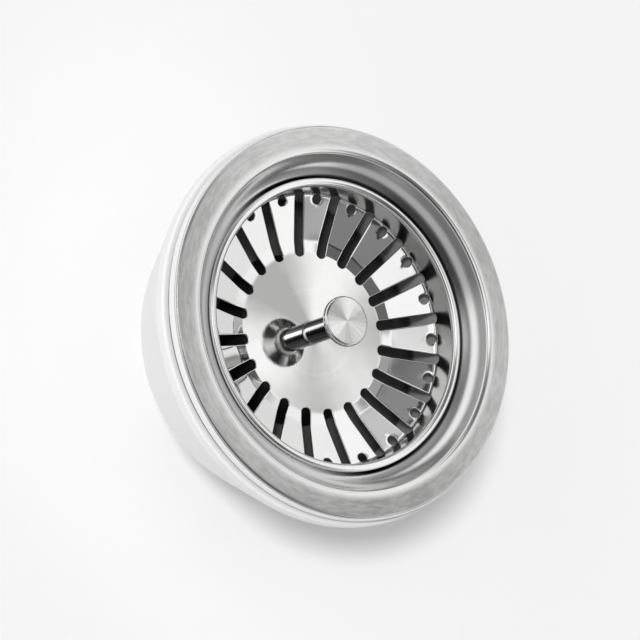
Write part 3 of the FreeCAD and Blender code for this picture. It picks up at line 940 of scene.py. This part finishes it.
def studio_tent():
    """The tent as light from every side: white, with soft-edged darker screens in some directions, and
    dimmer where matt surfaces gather it."""
    world = bpy.data.worlds.new("studio_tent")
    world.use_nodes = True
    world.node_tree.nodes.clear()
    wire = Wire(world.node_tree)
    towards = wire.node("ShaderNodeTexCoord", {}, {}, "Generated")

    def share(vector, aim):
        """How much of a vector points in the aim's direction."""
        sockets = {0: vector, 1: aim.tolist()}
        return wire.node("ShaderNodeVectorMath", {"operation": "DOT_PRODUCT"}, sockets, "Value")

    def screen(away, side, up, inner, outer, depth):
        """What a round screen in that direction leaves of the light: it takes all of its depth inside the
        inner angle and nothing outside the outer one. A depth below zero makes it a bright card."""
        middle = share(towards, direction(away, side, up))
        return 1 - depth * middle.ease(math.cos(math.radians(outer)), math.cos(math.radians(inner)))

    # The tilt of the steel that mirrors a direction to the camera: the seat's slope meets a dark band, and
    # the steep top of the dish the dark low side behind the camera. The far side and one corner are dimmer
    sockets = {0: towards, 1: camera_back.tolist()}
    half_way = wire.node("ShaderNodeVectorMath", {"operation": "ADD"}, sockets)
    half_way = wire.node("ShaderNodeVectorMath", {"operation": "NORMALIZE"}, {0: half_way})
    level = share(half_way, upward)
    dark_band = level.ease(0.731, 0.766) * (1 - level.ease(0.822, 0.838))
    low_side = 1 - level.ease(0.55, 0.63)
    far_side = share(towards, outward).ease(0.55, 1.0)
    corner = share(towards, -0.65 * outward - 0.70 * sideways + 0.30 * upward).ease(0.42, 0.70)
    tone = 1.15 * (1 - 0.86 * dark_band) * (1 - 0.68 * low_side)
    tone = tone * (1 - 0.28 * far_side) * (1 - 0.55 * corner)
    # Screens that the flat petals mirror, the bend at their outer ends, and the facet round the disc
    petal_screens = [
        screen(0.20, -0.43, 0.88, 10.5, 20, 0.78),
        screen(0.20, 0.42, 0.89, 8.5, 19, 0.74),
        screen(0.42, 0.53, 0.73, 4, 9, 0.35),
    ]
    outer_fold_screens = [
        screen(-0.22, -0.52, 0.82, 11, 19, 0.85),
        screen(-0.50, -0.28, 0.82, 9, 13, 0.85),
        screen(-0.576, 0.0, 0.817, 8, 13, 0.9),
        screen(-0.42, 0.38, 0.82, 6, 11, -1.2),
        screen(0.0, 0.56, 0.82, 13, 17, 0.8),
    ]
    disc_facet_screens = [
        screen(0.31, -0.13, 0.94, 10, 12.5, 0.86),
        screen(0.40, 0.23, 0.89, 6, 9, 0.64),
        screen(0.80, 0.0, 0.59, 5, 9, 0.5),
    ]
    for left in petal_screens + outer_fold_screens + disc_facet_screens:
        tone = tone * left
    seen = wire.node("ShaderNodeLightPath", {}, {}, "Is Camera Ray")
    gathered = wire.node("ShaderNodeLightPath", {}, {}, "Is Diffuse Ray")
    strength = tone * (1 - seen) * (1 - 0.45 * gathered) + seen
    glow = wire.node("ShaderNodeBackground", {}, {"Color": (1.0, 1.0, 1.0, 1), "Strength": strength})
    wire.node("ShaderNodeOutputWorld", {}, {"Surface": glow})
    return world


def lamp(name, away, side, up, softness, power):
    """A soft far lamp in that direction, which lights the paper and the plastic but isn't mirrored in
    steel."""
    aim = direction(away, side, up)
    data = bpy.data.lights.new(name, "SUN")
    data.angle = math.radians(softness)
    data.energy = power
    thing = bpy.data.objects.new(name, data)
    across = np.cross(sideways, aim)
    across = across / np.linalg.norm(across)
    stand(thing, across, np.cross(aim, across), aim, face_centre + aim)
    thing.visible_glossy = False


lamp("key_lamp", -0.54, 0.19, 0.82, 8.0, 1.75)
lamp("fill_lamp", -0.60, 0.05, 0.80, 90.0, 0.75)
bpy.context.scene.world = studio_tent()
bpy.context.scene.view_settings.view_transform = "Standard"
